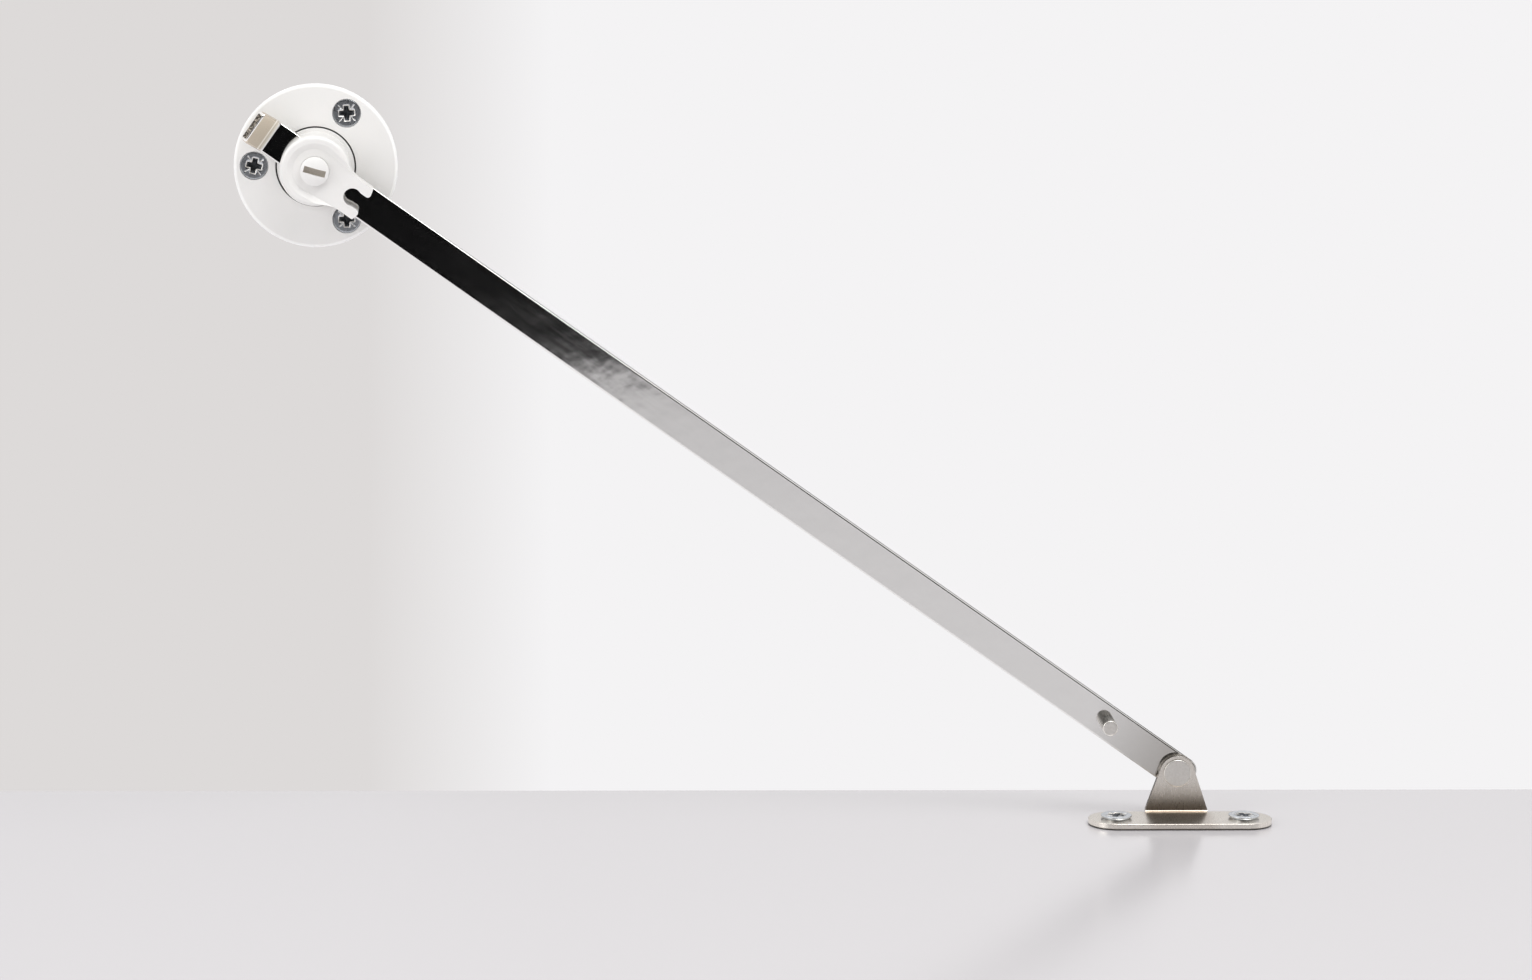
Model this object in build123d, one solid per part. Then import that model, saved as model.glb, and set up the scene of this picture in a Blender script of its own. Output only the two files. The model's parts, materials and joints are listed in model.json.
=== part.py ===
from build123d import *
import math
import os

# Lid stay with an adjustable brake, for a drop-down cabinet flap.
# Every piece is first drawn with its back towards a wall lying flat:
# x runs along the bar or the wall, y runs up the wall, z stands out of it.
# The finished pieces are then stood up, so that +Z is up and the wall is the plane y = 0.

# Fits
running_gap = 0.05
bearing_gap = 0.10
peg_gap = 0.03
ring_gap = 0.24

# Mounting disc
disc_diameter = 40.0
disc_height = 3.2
disc_rim_height = 2.3
disc_crown_start = 0.27 * disc_diameter
disc_edge_round = 0.5
ring_chamfer = 0.18

# Wall screws
wall_screw_circle = 0.75 * disc_diameter
wall_screw_count = 3
wall_screw_first_angle = 60.0
wall_screw_diameter = 3.5
wall_screw_neck = 2.5
wall_screw_head = 6.7
wall_screw_length = 16.0
wall_screw_hole_play = 0.25
spot_face_play = 0.15
wall_screw_turns = (4.0, -12.0, 2.0)

# Swivel hub
hub_diameter = 0.475 * disc_diameter
hub_flange_diameter = hub_diameter + 4.0
hub_flange_thickness = 1.25
hub_wall_gap = 0.15
cheek_diameter = hub_diameter - 1.9
channel_floor_thickness = 2.35

# Bar
bar_width = 8.6
bar_thickness = 2.0
bar_edge_round = 0.45
bar_reach = 262.2
bar_overhang = 4.8
bar_corner_round = 3.0
stop_start = 12.9
stop_angle = 42.0
stop_bend_radius = 0.9
stop_ramp = 5.7
stop_corner_round = 1.2
arm_angle = -35.0

# Guide cap
cap_rim_height = 6.3
cap_dish_depth = 0.8
dish_slope = 60.0
cap_rim_width = 1.8
cap_rim_round = 1.0
rim_run_out = 9.4
cap_roof_thickness = 1.0
tail_length = 14.8
tail_width = 9.0
tail_root_round = 6.0
tail_edge_round = 0.45
keyhole_distance = 11.1
keyhole_play = 0.3
mouth_round = 0.8
peg_diameter = 0.235 * (cheek_diameter - bar_width)
peg_length = 2.4
peg_along = 0.19 * cheek_diameter
peg_across = bar_width / 4 + 0.235 * cheek_diameter

# Brake and its adjuster
knob_diameter = 7.0
knob_flange_diameter = 8.4
knob_flange_thickness = 0.8
knob_side_height = 1.5
knob_dome_height = 0.9
slot_length = 5.4
slot_width = 1.6
slot_depth = 1.3
slot_angle = -15.0
adjuster_head_diameter = 6.0
adjuster_head_thickness = 1.0
adjuster_thread = 3.0
brake_travel = 0.5
shoe_thickness = 1.05
brake_plate_side = 8.4
nut_thickness = 1.0
spring_diameter = 6.4
spring_height = 0.4
spring_thickness = 0.22
spring_hole = 3.4

# Catch pin
pin_diameter = 3.8
pin_height = 6.6
pin_edge_round = 0.3
pin_spigot = 2.6
pin_to_rivet = 21.6

# Pivot rivet and washer
rivet_shank = 4.0
rivet_head = 6.9
rivet_head_thickness = 0.5
rivet_tail = 6.4
rivet_tail_thickness = 0.8
washer_diameter = 9.0
washer_thickness = 0.7

# Flap bracket
sheet_thickness = 1.5
plate_length = 46.0
plate_depth = 13.6
plate_edge_round = 0.2
rivet_above_plate = 9.8
ear_top_radius = 4.3
ear_base_width = 15.6
bend_radius = 0.5
nick_width = 0.7
nick_depth = 0.6

# Flap screws
flap_screw_spacing = plate_length - 14.0
flap_screw_diameter = 4.0
flap_screw_neck = 3.0
flap_screw_head = 7.7
flap_screw_length = 16.0
flap_countersink = 6.6
flap_screw_hole_play = 0.2
flap_screw_turn = 20.0

# Shape of every countersunk screw
head_rim = 0.3
screw_point_length = 4.0
recess_share = 0.6
recess_arm_share = 0.14
recess_depth_share = 0.26
recess_draft = 14.0

# Levels above the wall
bar_back = disc_height + channel_floor_thickness + running_gap
bar_front = bar_back + bar_thickness
cap_base = bar_front + running_gap
cap_top = cap_base + cap_rim_height
dish_floor = cap_top - cap_dish_depth
roof_underside = dish_floor - cap_roof_thickness
channel_floor = disc_height + channel_floor_thickness
knob_flange_top = roof_underside - running_gap
knob_top = dish_floor + knob_side_height + knob_dome_height
adjuster_head_top = knob_top - slot_depth
shoe_base = bar_front + running_gap
spring_base = shoe_base + shoe_thickness
nut_base = spring_base + spring_height
adjuster_end = spring_base + brake_travel + bearing_gap
ear_back = bar_front + washer_thickness + running_gap
ear_front = ear_back + sheet_thickness

# Distances across
bar_channel_width = bar_width + 2 * running_gap
pocket_side = brake_plate_side + 2 * running_gap
hub_bore = hub_diameter + 2 * ring_gap
flange_bore = hub_flange_diameter + 2 * bearing_gap
flange_top = hub_wall_gap + hub_flange_thickness
keyhole_diameter = pin_diameter + 2 * keyhole_play
keyhole_neck = pin_diameter + 2 * running_gap
plate_top = -rivet_above_plate
plate_bottom = plate_top - sheet_thickness
plate_rear = ear_front
plate_middle = plate_rear + plate_depth / 2


def turned(profile):
    """Revolve a half section, drawn as radius and height, about the z axis."""
    return revolve(Plane.XZ * make_face(profile), Axis.Z)


def rod(diameter, low, high):
    """A plain round rod on the z axis."""
    return Pos(0, 0, low) * extrude(Circle(diameter / 2), amount=high - low)


def block(length, width, low, high):
    """A rectangular block centred on the z axis."""
    return Pos(0, 0, low) * extrude(Rectangle(length, width), amount=high - low)


def countersunk_screw(thread, neck, head, grip, length, turn):
    """Chipboard screw with its head face at z = 0 and its point down.

    The plain neck ends at the depth called grip, and the thread below it is left smooth."""
    thread_radius = thread / 2
    head_radius = head / 2
    neck_radius = neck / 2
    cone_depth = min(head_radius - neck_radius, grip - head_rim - running_gap)
    profile = Polyline(
        (0, 0),
        (head_radius, 0),
        (head_radius, -head_rim),
        (neck_radius, -head_rim - cone_depth),
        (neck_radius, -grip),
        (thread_radius, -grip),
        (thread_radius, -length + screw_point_length),
        (0, -length),
        (0, 0),
    )
    body = turned(profile)
    arm = Rectangle(recess_share * head, recess_arm_share * head)
    cross = arm + Rot(0, 0, 90) * arm
    recess = extrude(cross, amount=-recess_depth_share * head, taper=recess_draft)
    return body - Rot(0, 0, turn) * recess


def wall_screw_places():
    """Positions of the wall screws on their circle."""
    places = []
    for index in range(wall_screw_count):
        angle = math.radians(wall_screw_first_angle + index * 360 / wall_screw_count)
        places.append((wall_screw_circle / 2 * math.cos(angle), wall_screw_circle / 2 * math.sin(angle)))
    return places


def crown_height(radius):
    """Height of the disc's sloping face at a radius."""
    run = disc_diameter / 2 - disc_crown_start
    return disc_height - (disc_height - disc_rim_height) * (radius - disc_crown_start) / run


def wall_screw_seat():
    """Level of the wall screws' head faces: the spot face is just below the crown's outer side."""
    return crown_height(wall_screw_circle / 2 + wall_screw_head / 2 + spot_face_play)


def mounting_disc():
    """Round base: crowned face, bore for the hub, recess behind for its flange, three countersinks."""
    outer = disc_diameter / 2
    bore = hub_bore / 2
    recess = flange_bore / 2
    recess_height = flange_top + running_gap
    face_line = FilletPolyline(
        (recess, 0),
        (outer, 0),
        (outer, disc_rim_height),
        (disc_crown_start, disc_height),
        (bore + ring_chamfer, disc_height),
        radius=[disc_edge_round / 2, disc_edge_round, disc_edge_round],
    )
    bore_line = Polyline(
        (bore + ring_chamfer, disc_height),
        (bore, disc_height - ring_chamfer),
        (bore, recess_height),
        (recess, recess_height),
        (recess, 0),
    )
    disc = turned(face_line + bore_line)
    seat = wall_screw_seat()
    hole = wall_screw_diameter + 2 * wall_screw_hole_play
    spot = wall_screw_head + 2 * spot_face_play
    cone_depth = (spot - hole) / 2
    cone = Pos(0, 0, seat - head_rim - cone_depth / 2) * Cone(hole / 2, spot / 2, cone_depth)
    cutter = rod(hole, -1, disc_height) + cone + rod(spot, seat - head_rim, disc_height + 1)
    for x, y in wall_screw_places():
        disc -= Pos(x, y, 0) * cutter
    return disc


def wall_screw(index):
    """One of the three wall screws, seated in its countersink."""
    x, y = wall_screw_places()[index]
    turn = wall_screw_turns[index % len(wall_screw_turns)]
    seat = wall_screw_seat()
    screw = countersunk_screw(
        wall_screw_diameter, wall_screw_neck, wall_screw_head, seat, wall_screw_length, turn
    )
    return Pos(x, y, seat) * screw


def swivel_hub():
    """Turning hub: flange caught behind the disc, flush neck, and two cheeks beside the bar."""
    neck = hub_diameter / 2
    flange = hub_flange_diameter / 2
    cheek = cheek_diameter / 2
    profile = Polyline(
        (0, hub_wall_gap),
        (flange, hub_wall_gap),
        (flange, flange_top),
        (neck, flange_top),
        (neck, disc_height - ring_chamfer),
        (neck - ring_chamfer, disc_height),
        (cheek, disc_height),
        (cheek, cap_base),
        (0, cap_base),
        (0, hub_wall_gap),
    )
    hub = turned(profile)
    hub -= block(2 * hub_diameter, bar_channel_width, channel_floor, cap_base + 1)
    hole = rod(peg_diameter + 2 * peg_gap, cap_base - peg_length - running_gap, cap_base + 1)
    for x, y in peg_places():
        hub -= Pos(x, y, 0) * hole
    return hub


def peg_places():
    """The four pegs that hold the cap to the hub's cheeks."""
    return [(x, y) for x in (-peg_along, peg_along) for y in (-peg_across, peg_across)]


def cap_outline(length):
    """Plan of the cap: the round body run out into a straight tail with hollow roots."""
    tail = Pos(length / 2, 0) * Rectangle(length, tail_width)
    outline = Circle(cheek_diameter / 2) + tail
    roots = outline.vertices().filter_by(lambda v: v.X < length - 1 and abs(v.Y) > tail_width / 2 - 0.01)
    return fillet(roots, tail_root_round)


def fork_outline():
    """Plan of the cap with its tail ended and slotted: keyhole, narrow neck and rounded prongs."""
    outline = cap_outline(2 * tail_length) & Circle(tail_length)
    tips = outline.vertices().filter_by(lambda v: v.X > rim_run_out and abs(v.Y) > tail_width / 2 - 0.01)
    outline = fillet(tips, tail_edge_round)
    hole = Pos(keyhole_distance, 0) * Circle(keyhole_diameter / 2)
    neck_length = tail_length - keyhole_distance
    neck = Pos(keyhole_distance + neck_length / 2, 0) * Rectangle(neck_length, keyhole_neck)
    outline -= hole + neck
    mouth = outline.vertices().filter_by(
        lambda v: v.X > tail_length - 0.5 and abs(abs(v.Y) - keyhole_neck / 2) < 0.01
    )
    return fillet(mouth, mouth_round)


def dish_outline():
    """Plan of the dish: round over the body, then widening until the rim runs out along the tail."""
    slope_width = cap_dish_depth * math.tan(math.radians(dish_slope))
    floor_radius = cheek_diameter / 2 - cap_rim_width - slope_width
    half_tail = tail_width / 2
    fan = Polygon(
        (0, -floor_radius),
        (rim_run_out, -half_tail),
        (tail_length + 1, -half_tail),
        (tail_length + 1, half_tail),
        (rim_run_out, half_tail),
        (0, floor_radius),
        align=None,
    )
    return Circle(floor_radius) + fan


def guide_cap():
    """Cap over the bar: raised rim, dished top, keyhole fork, pocket for the brake, four pegs."""
    blank_length = 2 * tail_length
    blank = Pos(0, 0, cap_base) * extrude(cap_outline(blank_length), amount=cap_rim_height)
    rim_edges = blank.edges().group_by(Axis.Z)[-1].filter_by(lambda e: e.center().X < blank_length - 1)
    cap = fillet(rim_edges, cap_rim_round) & extrude(fork_outline(), amount=2 * cap_top)
    dish = Pos(0, 0, dish_floor) * extrude(dish_outline(), amount=2 * cap_dish_depth, taper=-dish_slope)
    above_tail = Pos(rim_run_out, 0, dish_floor) * Box(
        tail_length, 2 * tail_width, 2 * cap_dish_depth, align=(Align.MIN, Align.CENTER, Align.MIN)
    )
    cap -= dish + above_tail
    cap -= block(pocket_side, pocket_side, cap_base - 1, roof_underside)
    cap -= rod(knob_diameter + 2 * running_gap, roof_underside - 1, cap_top + 1)
    peg = rod(peg_diameter, cap_base - peg_length, cap_base)
    for x, y in peg_places():
        cap += Pos(x, y, 0) * peg
    return cap


def adjusting_screw():
    """Threaded core of the knob; its flat head is seen at the bottom of the knob's slot."""
    head_base = adjuster_head_top - adjuster_head_thickness
    head = rod(adjuster_head_diameter, head_base, adjuster_head_top)
    return head + rod(adjuster_thread, adjuster_end, head_base)


def adjusting_knob():
    """Domed knob moulded round the screw's head, held under the cap's roof by its flange."""
    radius = knob_diameter / 2
    flange = knob_flange_diameter / 2
    flange_base = knob_flange_top - knob_flange_thickness
    side_top = dish_floor + knob_side_height
    sides = Polyline(
        (0, flange_base),
        (flange, flange_base),
        (flange, knob_flange_top),
        (radius, knob_flange_top),
        (radius, side_top),
    )
    dome = JernArc((0, knob_top), (1, 0), dome_radius(), -dome_sweep())
    knob = turned(sides + dome + Line((0, knob_top), (0, flange_base)))
    slot = Rot(0, 0, slot_angle) * block(slot_length, slot_width, adjuster_head_top, knob_top + 1)
    return knob - slot - adjusting_screw()


def dome_radius():
    """Radius of the knob's domed top."""
    half = knob_diameter / 2
    return (half * half + knob_dome_height * knob_dome_height) / (2 * knob_dome_height)


def dome_sweep():
    """Angle from the knob's centre line to the edge of its dome."""
    return math.degrees(math.asin(knob_diameter / 2 / dome_radius()))


def pressure_nut():
    """Square nut on the adjusting screw; the cap's pocket keeps it from turning."""
    nut = block(brake_plate_side, brake_plate_side, nut_base, nut_base + nut_thickness)
    return nut - rod(adjuster_thread + 2 * running_gap, nut_base - 1, nut_base + nut_thickness + 1)


def disc_spring():
    """Cone spring between the nut and the shoe."""
    outer = spring_diameter / 2
    inner = spring_hole / 2
    top = spring_base + spring_height
    profile = Polyline(
        (outer, spring_base),
        (outer, spring_base + spring_thickness),
        (inner, top),
        (inner, top - spring_thickness),
        (outer, spring_base),
    )
    return turned(profile)


def brake_shoe():
    """Friction pad pressed on the bar."""
    return block(brake_plate_side, brake_plate_side, shoe_base, shoe_base + shoe_thickness)


def stay_bar():
    """Flat bar with rounded edges and corners; its free end is bent out as a stop."""
    middle = bar_back + bar_thickness / 2
    bend = stop_bend_radius + bar_thickness / 2
    far_end = bar_reach + bar_overhang
    flat = Line((far_end, middle), (-stop_start, middle))
    curve = JernArc(flat @ 1, (-1, 0), bend, -stop_angle)
    ramp = Line(curve @ 1, curve @ 1 + stop_ramp * (curve % 1))
    start = Plane(origin=(far_end, 0, middle), x_dir=(0, 1, 0), z_dir=(-1, 0, 0))
    bar = sweep(start * Rectangle(bar_width, bar_thickness), path=Plane.XZ * (flat + curve + ramp))
    tip = (ramp @ 1).X
    bar = fillet(end_corners(bar, far_end), bar_corner_round)
    bar = fillet(end_corners(bar, tip), stop_corner_round)
    rims = bar.edges().filter_by(
        lambda e: abs(e.length - bar_thickness) > 0.01
        and not (abs(e.center().Y) < 0.01 and tip + 1 < e.center().X < bar_reach)
    )
    bar = fillet(rims, bar_edge_round)
    bar -= Pos(bar_reach, 0, 0) * rod(rivet_shank, bar_back - 1, bar_front + 1)
    bar -= Pos(bar_reach - pin_to_rivet, 0, 0) * rod(pin_spigot, bar_back - 1, bar_front + 1)
    return bar


def end_corners(bar, end):
    """The two edges through the bar's thickness at one of its ends."""
    return bar.edges().filter_by(
        lambda e: abs(e.center().X - end) < 1
        and abs(e.length - bar_thickness) < 0.01
        and abs(abs(e.center().Y) - bar_width / 2) < 0.01
    )


def catch_pin():
    """Pin on the bar that snaps into the cap's keyhole when the flap is shut."""
    pin = rod(pin_diameter, bar_front, bar_front + pin_height)
    pin = fillet(pin.edges().group_by(Axis.Z)[-1], pin_edge_round)
    return Pos(bar_reach - pin_to_rivet, 0, 0) * (pin + rod(pin_spigot, bar_back, bar_front))


def pivot_rivet():
    """Rivet through the bracket's ear, the washer and the bar."""
    head_base = ear_front + running_gap
    head = rod(rivet_head, head_base, head_base + rivet_head_thickness)
    head = fillet(head.edges().group_by(Axis.Z)[-1], rivet_head_thickness / 2)
    tail = rod(rivet_tail, bar_back - rivet_tail_thickness, bar_back)
    tail = fillet(tail.edges().group_by(Axis.Z)[0], rivet_tail_thickness / 2)
    return Pos(bar_reach, 0, 0) * (head + rod(rivet_shank, bar_back, head_base) + tail)


def spacer_washer():
    """Washer that keeps the ear clear of the bar."""
    washer_top = bar_front + washer_thickness
    washer = rod(washer_diameter, bar_front, washer_top) - rod(rivet_shank, bar_front - 1, washer_top + 1)
    return Pos(bar_reach, 0, 0) * washer


def flap_bracket():
    """Bracket of bent sheet, drawn with the rivet on the z axis and its plate below."""
    top = ear_top_radius
    outer_line = FilletPolyline(
        (ear_back, top),
        (ear_back, plate_bottom),
        (plate_middle, plate_bottom),
        radius=bend_radius + sheet_thickness,
    )
    inner_line = FilletPolyline(
        (plate_middle, plate_top),
        (ear_front, plate_top),
        (ear_front, top),
        radius=bend_radius,
    )
    plate_end = Line((plate_middle, plate_bottom), (plate_middle, plate_top))
    ear_end = Line((ear_front, top), (ear_back, top))
    side = Plane(origin=(0, 0, 0), x_dir=(0, 0, 1), z_dir=(-1, 0, 0))
    section = side * make_face(outer_line + inner_line + plate_end + ear_end)
    folded = extrude(section, amount=ear_base_width / 2, both=True)
    base_height = plate_top + bend_radius - plate_bottom
    base = Pos(0, plate_bottom + base_height / 2) * Rectangle(ear_base_width, base_height)
    outline = make_hull(Circle(ear_top_radius).edges() + base.edges())
    ear = folded & extrude(outline, amount=2 * plate_middle)
    slot_plane = Plane(origin=(0, plate_bottom, plate_middle), x_dir=(1, 0, 0), z_dir=(0, 1, 0))
    plate = slot_plane * extrude(SlotOverall(plate_length, plate_depth), amount=sheet_thickness)
    rims = plate.edges().group_by(Axis.Y)
    plate = fillet(rims[-1] + rims[0], plate_edge_round)
    for side_sign in (-1, 1):
        nick = Pos(side_sign * (ear_base_width + nick_width) / 2, plate_bottom, plate_rear) * Box(
            nick_width, 4 * sheet_thickness, 2 * nick_depth
        )
        plate -= nick
    bracket = ear + plate
    bracket -= rod(rivet_shank + 2 * running_gap, ear_back - 1, ear_front + 1)
    hole = flap_screw_diameter + 2 * flap_screw_hole_play
    depth = (flap_countersink - hole) / 2
    seat = Rot(-90, 0, 0) * (
        rod(hole, -1, sheet_thickness + 1)
        + Pos(0, 0, sheet_thickness - depth / 2) * Cone(hole / 2, flap_countersink / 2, depth)
    )
    for x in (-flap_screw_spacing / 2, flap_screw_spacing / 2):
        bracket -= Pos(x, plate_bottom, plate_middle) * seat
    return bracket


def flap_screw(sign):
    """One of the two flap screws; its larger head stands a little proud of the countersink."""
    proud = head_rim + (flap_screw_head - flap_countersink) / 2
    screw = countersunk_screw(
        flap_screw_diameter,
        flap_screw_neck,
        flap_screw_head,
        proud + sheet_thickness,
        flap_screw_length,
        flap_screw_turn * sign,
    )
    return Pos(sign * flap_screw_spacing / 2, plate_top + proud, plate_middle) * Rot(-90, 0, 0) * screw


def stand_up(shape, angle=0.0, x=0.0, y=0.0):
    """Turn a piece on the wall, move it there, and stand the wall upright."""
    return Plane.XZ.location * Location((x, y, 0), (0, 0, angle)) * shape


def main():
    arm = math.radians(arm_angle)
    rivet_x = bar_reach * math.cos(arm)
    rivet_y = bar_reach * math.sin(arm)
    pieces = {
        "mounting_disc": stand_up(mounting_disc()),
        "swivel_hub": stand_up(swivel_hub(), arm_angle),
        "guide_cap": stand_up(guide_cap(), arm_angle),
        "adjusting_knob": stand_up(adjusting_knob()),
        "adjusting_screw": stand_up(adjusting_screw()),
        "pressure_nut": stand_up(pressure_nut(), arm_angle),
        "disc_spring": stand_up(disc_spring(), arm_angle),
        "brake_shoe": stand_up(brake_shoe(), arm_angle),
        "stay_bar": stand_up(stay_bar(), arm_angle),
        "catch_pin": stand_up(catch_pin(), arm_angle),
        "pivot_rivet": stand_up(pivot_rivet(), arm_angle),
        "spacer_washer": stand_up(spacer_washer(), arm_angle),
        "flap_bracket": stand_up(flap_bracket(), 0, rivet_x, rivet_y),
        "flap_screw_left": stand_up(flap_screw(-1), 0, rivet_x, rivet_y),
        "flap_screw_right": stand_up(flap_screw(1), 0, rivet_x, rivet_y),
    }
    for index in range(wall_screw_count):
        pieces[f"wall_screw_{index + 1}"] = stand_up(wall_screw(index))
    os.makedirs("parts", exist_ok=True)
    for name, piece in pieces.items():
        export_step(piece, f"parts/{name}.step")


main()
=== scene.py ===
import json
import math

import bpy
from mathutils import Matrix, Vector


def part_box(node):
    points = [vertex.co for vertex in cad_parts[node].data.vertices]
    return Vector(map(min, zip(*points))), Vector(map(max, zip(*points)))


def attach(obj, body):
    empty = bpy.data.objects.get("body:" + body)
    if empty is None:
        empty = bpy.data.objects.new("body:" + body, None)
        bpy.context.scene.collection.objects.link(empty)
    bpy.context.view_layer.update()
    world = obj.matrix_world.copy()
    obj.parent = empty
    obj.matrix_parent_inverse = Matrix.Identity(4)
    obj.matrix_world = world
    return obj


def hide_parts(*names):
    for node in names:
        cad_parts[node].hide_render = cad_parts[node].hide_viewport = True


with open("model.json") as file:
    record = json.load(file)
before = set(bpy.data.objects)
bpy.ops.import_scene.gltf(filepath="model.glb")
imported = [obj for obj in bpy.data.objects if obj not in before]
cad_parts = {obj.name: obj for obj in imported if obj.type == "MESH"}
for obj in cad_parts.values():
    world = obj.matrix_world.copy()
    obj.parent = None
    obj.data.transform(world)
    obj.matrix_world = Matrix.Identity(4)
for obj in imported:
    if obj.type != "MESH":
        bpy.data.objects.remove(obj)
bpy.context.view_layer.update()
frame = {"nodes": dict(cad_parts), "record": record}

MM = 0.001

# Camera: fitted to the disc, the ring gap, the screw heads, the bar's edges and the bracket.
CAMERA_PLACE = (33.69 * MM, -1229.71 * MM, 136.93 * MM)
CAMERA_YAW = 0.0630
CAMERA_PITCH = 0.1746
CAMERA_ROLL = 0.0134
CAMERA_FOCAL_PIXELS = 5032.7
PHOTO_WIDTH = 1532
SENSOR_WIDTH = 36.0

# The bar lies 35 degrees below the horizontal, and so does its rolled grain.
BAR_ANGLE = math.radians(35.0)

# The stop leans 42 degrees out of the bar's line.
STOP_ANGLE = math.radians(42.0)
STOP_DIRECTION = Vector(
    (
        -math.cos(STOP_ANGLE) * math.cos(BAR_ANGLE),
        -math.sin(STOP_ANGLE),
        math.cos(STOP_ANGLE) * math.sin(BAR_ANGLE),
    )
)

# The bracket's plate lies on the flap, 1.5 mm thick.
FLOOR_LEVEL = frame["record"]["mounts"][2]["pos_m"][2]
BRACKET_MIDDLE = frame["record"]["mounts"][2]["pos_m"][0]
PLATE_TOP = FLOOR_LEVEL + 1.5 * MM


# Colour and nodes


def linear(hex_colour):
    """Turns an sRGB hex colour into the linear colour that a socket takes."""
    channels = [int(hex_colour[i : i + 2], 16) / 255 for i in (1, 3, 5)]
    return [c / 12.92 if c <= 0.04045 else ((c + 0.055) / 1.055) ** 2.4 for c in channels] + [1.0]


def add_node(tree, kind, inputs=None, **settings):
    """Adds one node with its settings. An input takes a value, or a socket to link from."""
    made = tree.nodes.new("ShaderNode" + kind)
    for name, value in settings.items():
        setattr(made, name, value)
    for name, value in (inputs or {}).items():
        if isinstance(value, bpy.types.NodeSocket):
            tree.links.new(value, made.inputs[name])
        else:
            made.inputs[name].default_value = value
    return made


def new_material(name):
    """An empty material with its output, and the place on the piece in metres."""
    material = bpy.data.materials.new(name)
    material.use_nodes = True
    tree = material.node_tree
    tree.nodes.clear()
    place = add_node(tree, "TexCoord").outputs["Object"]
    return material, tree, place


def finish_material(tree, shader):
    """Links the shader to the material's output."""
    add_node(tree, "OutputMaterial", {"Surface": shader.outputs[0]})


def ramp(tree, value, low, high, at_low, at_high):
    """A straight ramp between two values, held level outside them."""
    limits = {"Value": value, "From Min": low, "From Max": high, "To Min": at_low, "To Max": at_high}
    return add_node(tree, "MapRange", limits).outputs["Result"]


def blend(tree, factor, first, second):
    """A blend of two colours, each a hex colour or a socket."""
    first = linear(first) if isinstance(first, str) else first
    second = linear(second) if isinstance(second, str) else second
    made = add_node(tree, "Mix", {"Factor": factor, "A": first, "B": second}, data_type="RGBA")
    return made.outputs["Result"]


def calculate(tree, operation, first, second):
    """One sum on two values, each a number or a socket."""
    return add_node(tree, "Math", {0: first, 1: second}, operation=operation).outputs[0]


def within(tree, value, low, high, soft):
    """One between two limits and nought outside them. Each limit is blurred by soft to either side."""
    above = ramp(tree, value, low - soft, low + soft, 0.0, 1.0)
    below = ramp(tree, value, high - soft, high + soft, 1.0, 0.0)
    return calculate(tree, "MULTIPLY", above, below)


def noise(tree, place, blotch, detail):
    """Noise in blotches about this many millimetres wide."""
    made = add_node(tree, "TexNoise", {"Vector": place, "Scale": 1 / (blotch * MM), "Detail": detail})
    return made.outputs["Fac"]


def bump(tree, height, strength, relief):
    """A bumpy surface, with its relief in millimetres."""
    made = add_node(tree, "Bump", {"Strength": strength, "Distance": relief * MM, "Height": height})
    return made.outputs["Normal"]


def finish_metal(tree, colour, rough, normal, metallic=1.0):
    """Makes the material a metal and links it to the output."""
    values = {"Base Color": colour, "Metallic": metallic, "Roughness": rough, "Normal": normal}
    finish_material(tree, add_node(tree, "BsdfPrincipled", values))


# Materials

# Painted shade: the ring gap between the hub and the disc, and its lips, are coloured nearly black where
# shade falls.
PAINTED_SHADE_INNER_RADIUS = 9.41 * MM
PAINTED_SHADE_OUTER_RADIUS = 9.83 * MM
PAINTED_SHADE_FRONT = -3.09 * MM
PAINTED_SHADE_BACK = -1.25 * MM

# Places along the bar, measured from the guide's middle.
# Painted reflection: between these places the bar's colour darkens towards the bracket, standing in for
# the darker surroundings its mirror shows there.
PAINTED_REFLECTION_DARKENS_FROM = 236 * MM
PAINTED_REFLECTION_DARKENS_TO = 258 * MM
# Painted highlight: a light band across the stop's bend lies between these places.
STOP_BEND_HIGHLIGHT_START = -14.3 * MM
STOP_BEND_HIGHLIGHT_END = -14.0 * MM


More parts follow.
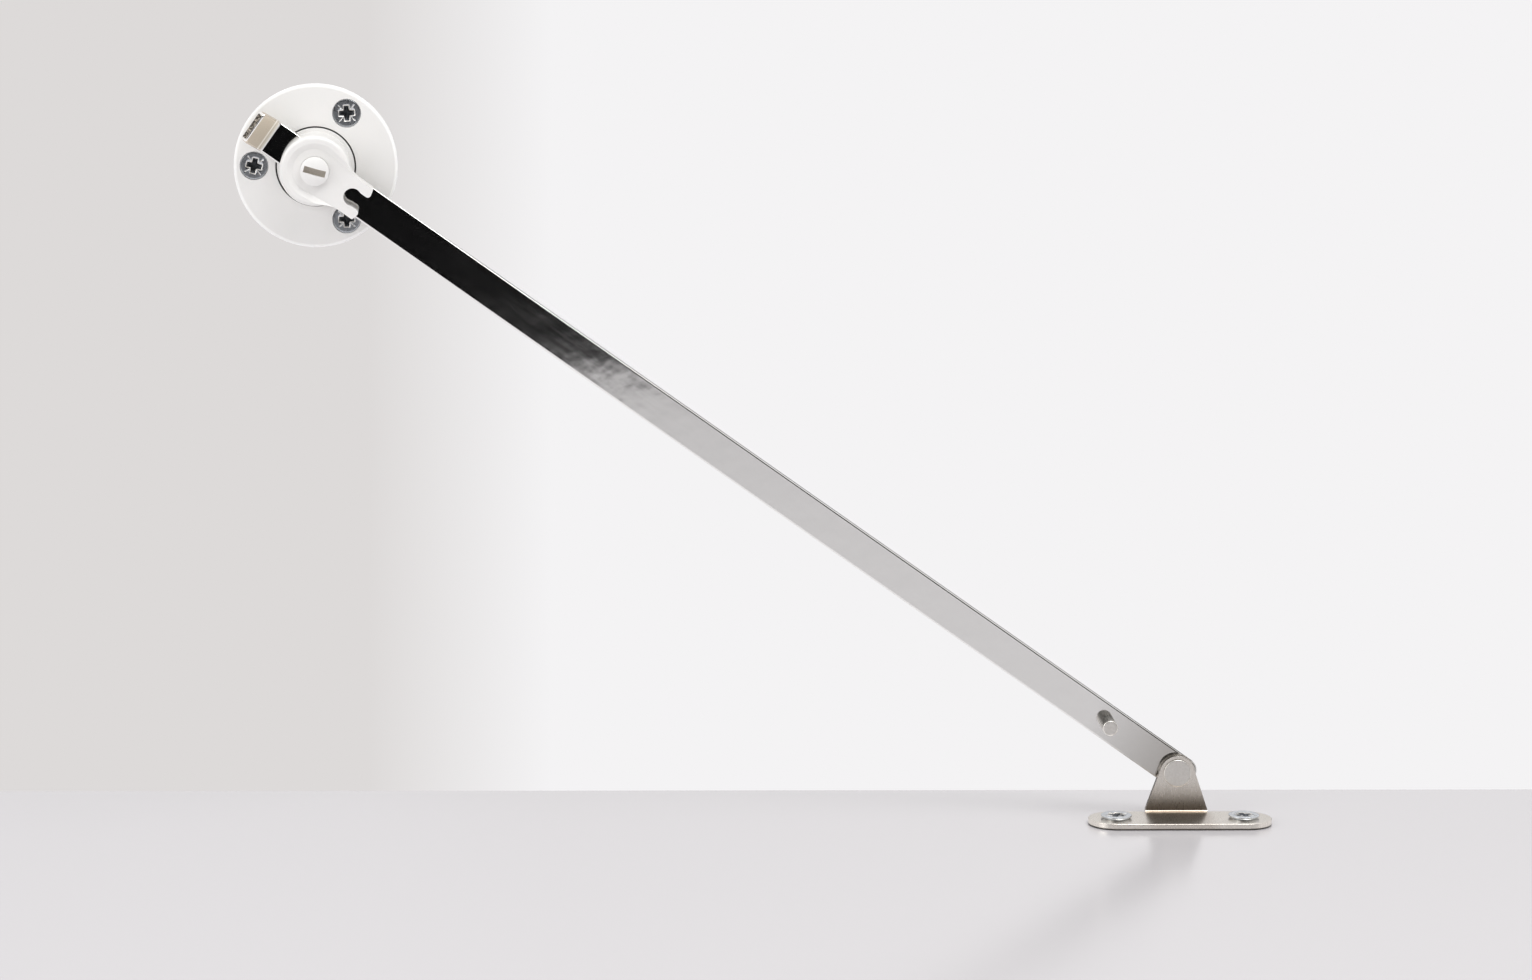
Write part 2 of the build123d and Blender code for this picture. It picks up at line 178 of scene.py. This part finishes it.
def moulded_white_nylon():
    """White nylon, injection moulded: soft gloss, a little light inside it, a faint ripple from the mould.

    A painted shade darkens the ring gap between the disc and the hub, and a painted highlight lightens the
    disc's rounded outer edge."""
    material, tree, place = new_material("moulded_white_nylon")
    colour = blend(tree, noise(tree, place, 9.0, 3.0), "#EFEDEB", "#E8E7E4")
    flat = add_node(tree, "VectorMath", {0: place, 1: (1.0, 0.0, 1.0)}, operation="MULTIPLY")
    radius = add_node(tree, "VectorMath", {0: flat.outputs["Vector"]}, operation="LENGTH").outputs["Value"]
    depth = add_node(tree, "SeparateXYZ", {"Vector": place}).outputs["Y"]
    in_ring = within(tree, radius, PAINTED_SHADE_INNER_RADIUS, PAINTED_SHADE_OUTER_RADIUS, 0.03 * MM)
    in_depth = within(tree, depth, PAINTED_SHADE_FRONT, PAINTED_SHADE_BACK, 0.05 * MM)
    painted_gap_shade = calculate(tree, "MULTIPLY", in_ring, in_depth)
    # Painted highlight: past 19.15 mm from the axis the disc's rounded outer edge is coloured lighter.
    painted_rim_highlight = ramp(tree, radius, 19.15 * MM, 19.45 * MM, 0.0, 1.0)
    colour = blend(tree, painted_rim_highlight, colour, "#FCFBF9")
    # Painted shade: the ring gap and its lips are coloured nearly black.
    colour = blend(tree, painted_gap_shade, colour, "#171513")
    sheen_spots = noise(tree, place, 2.2, 2.0)
    shader = add_node(
        tree,
        "BsdfPrincipled",
        {
            "Base Color": colour,
            "Roughness": ramp(tree, sheen_spots, 0.0, 1.0, 0.26, 0.38),
            "Normal": bump(tree, noise(tree, place, 0.3, 2.0), 0.12, 0.01),
            "IOR": 1.53,
            "Subsurface Weight": ramp(tree, painted_gap_shade, 0.0, 0.2, 0.15, 0.0),
            "Subsurface Radius": (1.0, 0.95, 0.9),
            "Subsurface Scale": 0.8 * MM,
        },
    )
    finish_material(tree, shader)
    return material


def bright_nickel_on_rolled_steel(stop_reach):
    """Nickel plate on smooth rolled steel: a mirror with a slow wave in it and hairlines along the bar.

    The bar's colour darkens towards the bracket as a painted reflection. The bent stop is duller, with a
    painted warm reflection on its colour and a painted highlight on its bend and along the edge of its
    end; its end, stop_reach along its own direction, is sheared."""
    material, tree, place = new_material("bright_nickel_on_rolled_steel")
    along = add_node(
        tree,
        "VectorRotate",
        {"Vector": place, "Axis": (0.0, 1.0, 0.0), "Angle": -BAR_ANGLE},
        rotation_type="AXIS_ANGLE",
    ).outputs["Vector"]
    stretched = add_node(tree, "VectorMath", {0: along, 1: (0.03, 1.0, 1.0)}, operation="MULTIPLY")
    hairlines = noise(tree, stretched.outputs["Vector"], 0.35, 2.0)
    way = add_node(tree, "SeparateXYZ", {"Vector": along}).outputs["X"]
    # Painted reflection: the bar's colour darkens towards the bracket.
    colour = blend(tree, ramp(tree, way, PAINTED_REFLECTION_DARKENS_FROM, PAINTED_REFLECTION_DARKENS_TO, 0.0, 1.0), "#ECEBE8", "#BDBAB5")
    # Painted reflection: the bent stop's colour is warmed, standing in for the warm light its plating
    # mirrors; the same mask also makes it rougher.
    bent_end = ramp(tree, way, -13.0 * MM, -14.0 * MM, 0.0, 0.8)
    colour = blend(tree, bent_end, colour, "#CDBFAB")
    # Painted highlight: a light band across the stop's bend.
    ridge = within(tree, way, STOP_BEND_HIGHLIGHT_START, STOP_BEND_HIGHLIGHT_END, 0.1 * MM)
    colour = blend(tree, ridge, colour, "#FBF7F0")
    reach = add_node(tree, "VectorMath", {0: place, 1: STOP_DIRECTION}, operation="DOT_PRODUCT")
    reach = reach.outputs["Value"]
    # Painted highlight: a near-white band along the rounded edge before the stop's sheared end.
    painted_end_highlight = ramp(tree, reach, stop_reach - 0.5 * MM, stop_reach - 0.4 * MM, 0.0, 1.0)
    colour = blend(tree, painted_end_highlight, colour, "#FFFDF9")
    torn = ramp(tree, noise(tree, place, 0.45, 4.0), 0.45, 0.6, 0.0, 1.0)
    sheared = ramp(tree, reach, stop_reach - 0.08 * MM, stop_reach - 0.03 * MM, 0.0, 1.0)
    colour = blend(tree, sheared, colour, blend(tree, torn, "#38332E", "#B5ACA0"))
    rough = calculate(tree, "MULTIPLY", bent_end, 0.22)
    rough = calculate(tree, "ADD", rough, ramp(tree, hairlines, 0.0, 1.0, 0.05, 0.10))
    rough = calculate(tree, "MAXIMUM", rough, sheared)
    rough = calculate(tree, "MINIMUM", rough, 0.55)
    waves = bump(tree, noise(tree, place, 7.0, 2.5), 1.0, 0.03)
    finish_metal(tree, colour, rough, waves)
    return material


def satin_nickel_on_stamped_steel():
    """Satin nickel on stamped sheet: warm grey, with the fine pits and drag marks of the press.

    Low on the ear and on the plate before it a brown painted reflection is laid on its colour, and a
    painted contact shadow darkens the lowest edge of the plate."""
    material, tree, place = new_material("satin_nickel_on_stamped_steel")
    colour = blend(tree, noise(tree, place, 3.5, 4.0), "#E8E3DB", "#D6D0C7")
    split = add_node(tree, "SeparateXYZ", {"Vector": place}).outputs
    # Painted reflection: low on the ear and on the plate before it the colour turns brown, standing in for
    # what the metal mirrors near the bend.
    low_ear = ramp(tree, split["Z"], PLATE_TOP + 7.5 * MM, PLATE_TOP + 0.8 * MM, 0.0, 0.8)
    aside = calculate(tree, "SUBTRACT", split["X"], BRACKET_MIDDLE)
    aside = add_node(tree, "Math", {0: aside}, operation="ABSOLUTE").outputs[0]
    before_ear = ramp(tree, aside, 6.6 * MM, 9.2 * MM, 1.0, 0.1)
    painted_brown_reflection = calculate(tree, "MULTIPLY", low_ear, before_ear)
    fronts = ramp(tree, split["Y"], -24.0 * MM, -12.0 * MM, 0.35, 1.0)
    painted_brown_reflection = calculate(tree, "MULTIPLY", painted_brown_reflection, fronts)
    colour = blend(tree, painted_brown_reflection, colour, "#A59788")
    # Painted shadow: the lowest 0.4 mm of the plate's edge is darkened where its contact shadow falls.
    painted_contact_shadow = ramp(tree, split["Z"], FLOOR_LEVEL + 0.4 * MM, FLOOR_LEVEL + 0.2 * MM, 0.0, 0.9)
    colour = blend(tree, painted_contact_shadow, colour, "#2E2721")
    drawn = add_node(tree, "VectorMath", {0: place, 1: (1.0, 1.0, 0.15)}, operation="MULTIPLY")
    marks = noise(tree, drawn.outputs["Vector"], 0.22, 3.0)
    finish_metal(tree, colour, ramp(tree, marks, 0.0, 1.0, 0.2, 0.38), bump(tree, marks, 0.25, 0.01))
    return material


def nickel_on_headed_steel():
    """Nickel on cold-headed pins: light grey, with faint scratches from the tumbling barrel."""
    material, tree, place = new_material("nickel_on_headed_steel")
    scratches = noise(tree, place, 0.5, 5.0)
    colour = blend(tree, scratches, "#E9E6E1", "#D6D2CB")
    rough = ramp(tree, scratches, 0.3, 0.7, 0.28, 0.42)
    finish_metal(tree, colour, rough, bump(tree, scratches, 0.3, 0.01))
    return material


def recess_with_painted_shade():
    """The punched recess of a screw: zinc darkened to nearly black, a painted shade in its depth."""
    material, tree, place = new_material("recess_with_painted_shade")
    colour = blend(tree, noise(tree, place, 0.4, 3.0), "#5B5E62", "#3C3E41")
    shader = add_node(tree, "BsdfPrincipled", {"Base Color": colour, "Metallic": 0.7, "Roughness": 0.45})
    finish_material(tree, shader)
    return material


def blue_zinc_on_cold_headed_steel():
    """Zinc plate with a blue passivate on cold-headed screws: cool grey, slightly cloudy."""
    material, tree, place = new_material("blue_zinc_on_cold_headed_steel")
    cloud = noise(tree, place, 1.2, 4.0)
    colour = blend(tree, cloud, "#DDE0E3", "#BABFC4")
    finish_metal(tree, colour, ramp(tree, cloud, 0.0, 1.0, 0.21, 0.36), bump(tree, cloud, 0.3, 0.02))
    return material


def plain_turned_steel():
    """Bare turned steel: grey-brown and matt, slightly cloudy."""
    material, tree, place = new_material("plain_turned_steel")
    cloud = noise(tree, place, 0.4, 3.0)
    colour = blend(tree, cloud, "#D8D0C4", "#C0B8AC")
    finish_metal(tree, colour, 0.5, bump(tree, cloud, 0.4, 0.02), metallic=0.8)
    return material


def filled_friction_plastic():
    """Friction plastic with mineral filler, pressed: dark and dull with pale grains."""
    material, tree, place = new_material("filled_friction_plastic")
    grains = add_node(tree, "TexVoronoi", {"Vector": place, "Scale": 1 / (0.25 * MM)})
    colour = blend(tree, grains.outputs["Distance"], "#2B2926", "#45413C")
    shader = add_node(tree, "BsdfPrincipled", {"Base Color": colour, "Roughness": 0.75, "IOR": 1.5})
    finish_material(tree, shader)
    return material


def satin_lacquered_board():
    """Pale lacquered board under the bracket: nearly flat colour with a blurred reflection.

    Away from the part the camera sees it fade into the background."""
    material, tree, place = new_material("satin_lacquered_board")
    direct = add_node(tree, "LightPath").outputs["Is Camera Ray"]
    colour = blend(tree, direct, "#E9E7EA", "#CFCCCE")
    board = add_node(tree, "BsdfPrincipled", {"Base Color": colour, "Roughness": 0.2, "IOR": 1.45})
    away = add_node(tree, "VectorMath", {0: place, 1: (0.1, -0.08, FLOOR_LEVEL)}, operation="DISTANCE")
    faded = ramp(tree, away.outputs["Value"], 0.32, 0.6, 0.0, 1.0)
    faded = calculate(tree, "MULTIPLY", faded, direct)
    clear = add_node(tree, "BsdfTransparent")
    shader = add_node(tree, "MixShader", {0: faded, 1: board.outputs[0], 2: clear.outputs[0]})
    finish_material(tree, shader)
    return material


def black_cloth():
    """Dull black cloth of the studio behind the camera."""
    material, tree, _ = new_material("black_cloth")
    finish_material(tree, add_node(tree, "BsdfDiffuse", {"Color": linear("#0C0C0D")}))
    return material


# Meshes


def mesh_object(name, points, faces, material, smooth=True):
    """A mesh piece in the row's frame, from points in metres."""
    mesh = bpy.data.meshes.new(name)
    mesh.from_pydata(points, [], faces)
    mesh.update()
    mesh.materials.append(material)
    made = bpy.data.objects.new(name, mesh)
    bpy.context.scene.collection.objects.link(made)
    for face in mesh.polygons:
        face.use_smooth = smooth
    return made


def rectangle(name, x_low, x_high, across_low, across_high, level, upright, material):
    """A flat rectangle: lying at a height, or upright at a depth."""
    corners = [
        (x_low, across_low), (x_high, across_low), (x_high, across_high), (x_low, across_high)
    ]
    corners = [(x, level, across) if upright else (x, across, level) for x, across in corners]
    return mesh_object(name, corners, [(0, 1, 2, 3)], material, smooth=False)


# Screws

SCREW_SIDES = 64
THREAD_ROW = 0.09 * MM


def screw_outline(size):
    """Half section from the head's centre down to the point: radius, depth, and how much thread shows."""
    rows = [(0.0, 0.0, 0.0)]
    head = size["head"] / 2
    edge = size["edge_round"]
    for share in (0.35, 0.7, 0.9):
        rows.append((share * (head - edge), 0.0, 0.0))
    for step in range(5):
        turn = math.pi / 2 * step / 4
        rows.append((head - edge + edge * math.sin(turn), edge - edge * math.cos(turn), 0.0))
    rows.append((head, size["head_rim"], 0.0))
    neck = size["neck"] / 2
    cone = min(head - neck, size["grip"] - size["head_rim"] - 0.05 * MM)
    rows.append((neck, size["head_rim"] + cone, 0.0))
    rows.append((neck, size["grip"] - 0.02 * MM, 0.0))
    core = size["core"] / 2
    thread = size["thread"] / 2
    tip_start = size["length"] - size["tip"]
    depth = size["grip"]
    while depth < size["length"] - 0.3 * MM:
        fade = min(1.0, max(0.0, (size["length"] - depth) / size["tip"]))
        radius = core if depth < tip_start else max(0.08 * MM, core * fade)
        rows.append((radius, depth, (thread - core) * (1.0 if depth < tip_start else fade)))
        depth += THREAD_ROW
    rows.append((0.0, size["length"], 0.0))
    return rows


def screw_body(name, size, material):
    """Turned screw with its head face at z = 0, point down, and a thread raised on its core."""
    rows = screw_outline(size)
    points = [(0.0, 0.0, 0.0)]
    for radius, depth, rise in rows[1:-1]:
        for side in range(SCREW_SIDES):
            turn = side / SCREW_SIDES
            phase = (depth / size["pitch"] + turn) % 1.0
            ridge = max(0.0, 1.0 - abs(phase - 0.5) / size["ridge_share"])
            r = radius + rise * min(1.0, 1.25 * ridge)
            angle = 2 * math.pi * turn
            points.append((r * math.cos(angle), r * math.sin(angle), -depth))
    points.append((0.0, 0.0, -size["length"]))
    last = len(points) - 1
    faces = [(0, 1 + side, 1 + (side + 1) % SCREW_SIDES) for side in range(SCREW_SIDES)]
    for row in range(len(rows) - 3):
        low = 1 + row * SCREW_SIDES
        for side in range(SCREW_SIDES):
            nxt = (side + 1) % SCREW_SIDES
            faces.append((low + side, low + SCREW_SIDES + side, low + SCREW_SIDES + nxt, low + nxt))
    low = last - SCREW_SIDES
    faces += [(low + (side + 1) % SCREW_SIDES, low + side, last) for side in range(SCREW_SIDES)]
    return mesh_object(name, points, faces, material)


def tapered_bar(length, width, foot_length, foot_width, depth, angle):
    """Corners and faces of a tapered bar that sinks from just above z = 0 to a depth."""
    cosine = math.cos(angle)
    sine = math.sin(angle)
    points = []
    for z, half_length, half_width in (
        (0.05 * MM, length / 2, width / 2),
        (-depth, foot_length / 2, foot_width / 2),
    ):
        for x, y in ((-1, -1), (1, -1), (1, 1), (-1, 1)):
            px, py = x * half_length, y * half_width
            points.append((px * cosine - py * sine, px * sine + py * cosine, z))
    faces = [(0, 1, 2, 3), (7, 6, 5, 4), (0, 4, 5, 1), (1, 5, 6, 2), (2, 6, 7, 3), (3, 7, 4, 0)]
    return points, faces


def cut(piece, cutter):
    """Cuts one mesh out of another and keeps the result as the piece's own mesh."""
    tool = piece.modifiers.new("cut", "BOOLEAN")
    tool.operation = "DIFFERENCE"
    tool.solver = "EXACT"
    tool.material_mode = "TRANSFER"
    tool.object = cutter
    bpy.context.view_layer.update()
    shaped = piece.evaluated_get(bpy.context.evaluated_depsgraph_get())
    mesh = bpy.data.meshes.new_from_object(shaped)
    piece.modifiers.clear()
    piece.data = mesh
    bpy.data.objects.remove(cutter)


def cross_recess(piece, size, dark, bright):
    """Cuts the cross recess, its shallow pressed edge and the four short marks between its arms. The edge
    and the marks take the lighter material as a painted glint, the recess the dark one as painted shade.

    Every size is a share of the head's width."""
    head = size["head"]
    arms = size["recess_share"]
    for number, angle in enumerate((0.0, math.pi / 2)):
        points, faces = tapered_bar(
            (arms + 0.05) * head, 0.24 * head, (arms + 0.02) * head, 0.21 * head, 0.015 * head, angle
        )
        # Painted glint: the pressed edge takes the lighter material.
        cut(piece, mesh_object(f"pressed_edge_{number}", points, faces, bright))
        points, faces = tapered_bar(
            arms * head, 0.19 * head, 0.34 * head, 0.09 * head, 0.26 * head, angle
        )
        # Painted shade: the recess takes the dark material.
        cut(piece, mesh_object(f"recess_{number}", points, faces, dark))
    middle = (arms - 0.26) * head
    points, faces = tapered_bar(middle, middle, 0.2 * head, 0.2 * head, 0.22 * head, math.pi / 4)
    cut(piece, mesh_object("recess_middle", points, faces, dark))
    for number in range(4):
        angle = math.pi / 4 + number * math.pi / 2
        points, faces = tapered_bar(
            0.22 * head, 0.035 * head, 0.2 * head, 0.008 * head, 0.02 * head, angle
        )
        shift = Vector((math.cos(angle), math.sin(angle), 0.0)) * 0.30 * head
        points = [tuple(Vector(p) + shift) for p in points]
        # Painted glint: the marks take the lighter material.
        cut(piece, mesh_object(f"mark_{number}", points, faces, bright))


WALL_SCREW = {
    "head": 6.7 * MM,
    "head_rim": 0.3 * MM,
    "edge_round": 0.12 * MM,
    "neck": 2.5 * MM,
    "thread": 3.5 * MM,
    "core": 2.3 * MM,
    "pitch": 1.7 * MM,
    "ridge_share": 0.2,
    "length": 16.0 * MM,
    "tip": 4.0 * MM,
    "recess_share": 0.57,
}
FLAP_SCREW = dict(
    WALL_SCREW,
    head=7.7 * MM,
    neck=3.0 * MM,
    thread=4.0 * MM,
    core=2.6 * MM,
    pitch=1.9 * MM,
    recess_share=0.52,
)


def place_screw(node, size, direction, turn, material):
    """Puts a detailed screw where the CAD screw is; direction is the way its point goes."""
    low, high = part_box(node)
    middle = (low + high) / 2
    name = node + "_threaded"
    if abs(direction.y) > 0.5:
        head_place = Vector((middle.x, low.y, middle.z))
        stand = Matrix.Rotation(math.pi / 2, 4, "X")
        size = dict(size, grip=-low.y)
    else:
        head_place = Vector((middle.x, middle.y, high.z))
        stand = Matrix.Identity(4)
        size = dict(size, grip=high.z - FLOOR_LEVEL)
    screw = screw_body(name, size, material)
    cross_recess(screw, size, recess, headed_nickel)
    screw.data.transform(Matrix.Translation(head_place) @ stand @ Matrix.Rotation(turn, 4, "Z"))
    screw.data.update()
    return screw


bar = frame["nodes"]["stay_bar"]
bar_points = [bar.matrix_world @ vertex.co for vertex in bar.data.vertices]

nylon = moulded_white_nylon()
bright_nickel = bright_nickel_on_rolled_steel(max(point.dot(STOP_DIRECTION) for point in bar_points))
satin_nickel = satin_nickel_on_stamped_steel()
headed_nickel = nickel_on_headed_steel()
recess = recess_with_painted_shade()
zinc = blue_zinc_on_cold_headed_steel()
turned_steel = plain_turned_steel()
friction_plastic = filled_friction_plastic()

FINISHES = {
    "mounting_disc": nylon,
    "swivel_hub": nylon,
    "guide_cap": nylon,
    "adjusting_knob": nylon,
    "adjusting_screw": turned_steel,
    "pressure_nut": turned_steel,
    "disc_spring": turned_steel,
    "brake_shoe": friction_plastic,
    "stay_bar": bright_nickel,
    "catch_pin": headed_nickel,
    "pivot_rivet": headed_nickel,
    "spacer_washer": satin_nickel,
    "flap_bracket": satin_nickel,
}
for name, material in FINISHES.items():
    cad_piece = frame["nodes"][name]
    cad_piece.data.materials.clear()
    cad_piece.data.materials.append(material)

into_wall = Vector((0.0, 1.0, 0.0))
into_flap = Vector((0.0, 0.0, -1.0))
for node, size, direction, body, degrees in (
    ("wall_screw_1", WALL_SCREW, into_wall, "base", 4.0),
    ("wall_screw_2", WALL_SCREW, into_wall, "base", -12.0),
    ("wall_screw_3", WALL_SCREW, into_wall, "base", 2.0),
    ("flap_screw_left", FLAP_SCREW, into_flap, "bracket", -20.0),
    ("flap_screw_right", FLAP_SCREW, into_flap, "bracket", 20.0),
):
    screw = place_screw(node, size, direction, math.radians(degrees), zinc)
    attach(screw, body)
    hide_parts(node)


# Camera, floor and studio


def photograph_camera():
    """The camera at the photograph's place, looking slightly down and to the right."""
    forward = Vector(
        (
            math.sin(CAMERA_YAW) * math.cos(CAMERA_PITCH),
            math.cos(CAMERA_YAW) * math.cos(CAMERA_PITCH),
            -math.sin(CAMERA_PITCH),
        )
    )
    right = Vector((math.cos(CAMERA_YAW), -math.sin(CAMERA_YAW), 0.0))
    up = right.cross(forward)
    rolled_right = math.cos(CAMERA_ROLL) * right + math.sin(CAMERA_ROLL) * up
    rolled_up = -math.sin(CAMERA_ROLL) * right + math.cos(CAMERA_ROLL) * up
    turn = Matrix((rolled_right, rolled_up, -forward)).transposed().to_4x4()
    data = bpy.data.cameras.new("photograph_camera")
    data.sensor_width = SENSOR_WIDTH
    data.lens = CAMERA_FOCAL_PIXELS * SENSOR_WIDTH / PHOTO_WIDTH
    data.clip_start = 0.05
    data.clip_end = 50.0
    camera = bpy.data.objects.new("photograph_camera", data)
    camera.matrix_world = Matrix.Translation(CAMERA_PLACE) @ turn
    bpy.context.scene.collection.objects.link(camera)
    bpy.context.scene.camera = camera


def soft_light(name, place, target, size, power):
    """A square soft light that faces a target."""
    data = bpy.data.lights.new(name, "AREA")
    data.shape = "SQUARE"
    data.size = size
    data.energy = power
    lamp = bpy.data.objects.new(name, data)
    facing = (Vector(target) - Vector(place)).to_track_quat("-Z", "Y")
    lamp.matrix_world = Matrix.Translation(place) @ facing.to_matrix().to_4x4()
    bpy.context.scene.collection.objects.link(lamp)


def studio_world():
    """White surroundings. The camera and bright metal see them as the pale background.

    The camera sees the left of the picture greyer, as in the photograph."""
    world = bpy.data.worlds.new("studio")
    world.use_nodes = True
    tree = world.node_tree
    tree.nodes.clear()
    path = add_node(tree, "LightPath")
    direct = path.outputs["Is Camera Ray"]
    seen = calculate(tree, "MAXIMUM", direct, path.outputs["Is Glossy Ray"])
    seen = calculate(tree, "MAXIMUM", seen, path.outputs["Is Transmission Ray"])
    window = add_node(tree, "TexCoord").outputs["Window"]
    across = add_node(tree, "SeparateXYZ", {"Vector": window}).outputs["X"]
    greyer = ramp(tree, across, 0.24, 0.36, 1.0, 0.0)
    greyer = calculate(tree, "MULTIPLY", greyer, direct)
    pale = blend(tree, greyer, "#F4F3F4", "#DDDAD9")
    colour = blend(tree, seen, "#FFFFFF", pale)
    strength = ramp(tree, seen, 0.0, 1.0, 0.62, 1.0)
    background = add_node(tree, "Background", {"Color": colour, "Strength": strength})
    add_node(tree, "OutputWorld", {"Surface": background.outputs[0]})
    bpy.context.scene.world = world


photograph_camera()
studio_world()
PART_MIDDLE = (0.1, 0.0, -0.05)
soft_light("soft_light_above", (0.5, -0.5, 1.3), PART_MIDDLE, 1.0, 14.0)
soft_light("soft_light_left", (-1.1, -0.8, 0.5), PART_MIDDLE, 0.9, 6.0)

# The board ends 0.74 m in front of the wall; past its edge the bar mirrors the dark studio.
# Its back edge shows in the photograph 20 mm behind the wall's plane.
BOARD_FRONT = -0.74
BOARD_BACK = 0.020
CONTACT_GAP = 0.15 * MM
floor = rectangle(
    "floor", -3.0, 3.0, BOARD_FRONT, BOARD_BACK, FLOOR_LEVEL - CONTACT_GAP, False, satin_lacquered_board()
)
# Dark studio that only bright metal sees: behind the camera, and low behind the part.
cloth = black_cloth()
curtain = rectangle("curtain", -2.5, 2.5, -2.0, 1.5, -1.8, True, cloth)
far_wall = rectangle("far_wall", -1.0, 2.0, -0.35, 0.04, 1.5, True, cloth)
for screen in (curtain, far_wall):
    screen.visible_camera = False
    screen.visible_diffuse = False
    screen.visible_shadow = False

bpy.context.scene.view_settings.view_transform = "Standard"
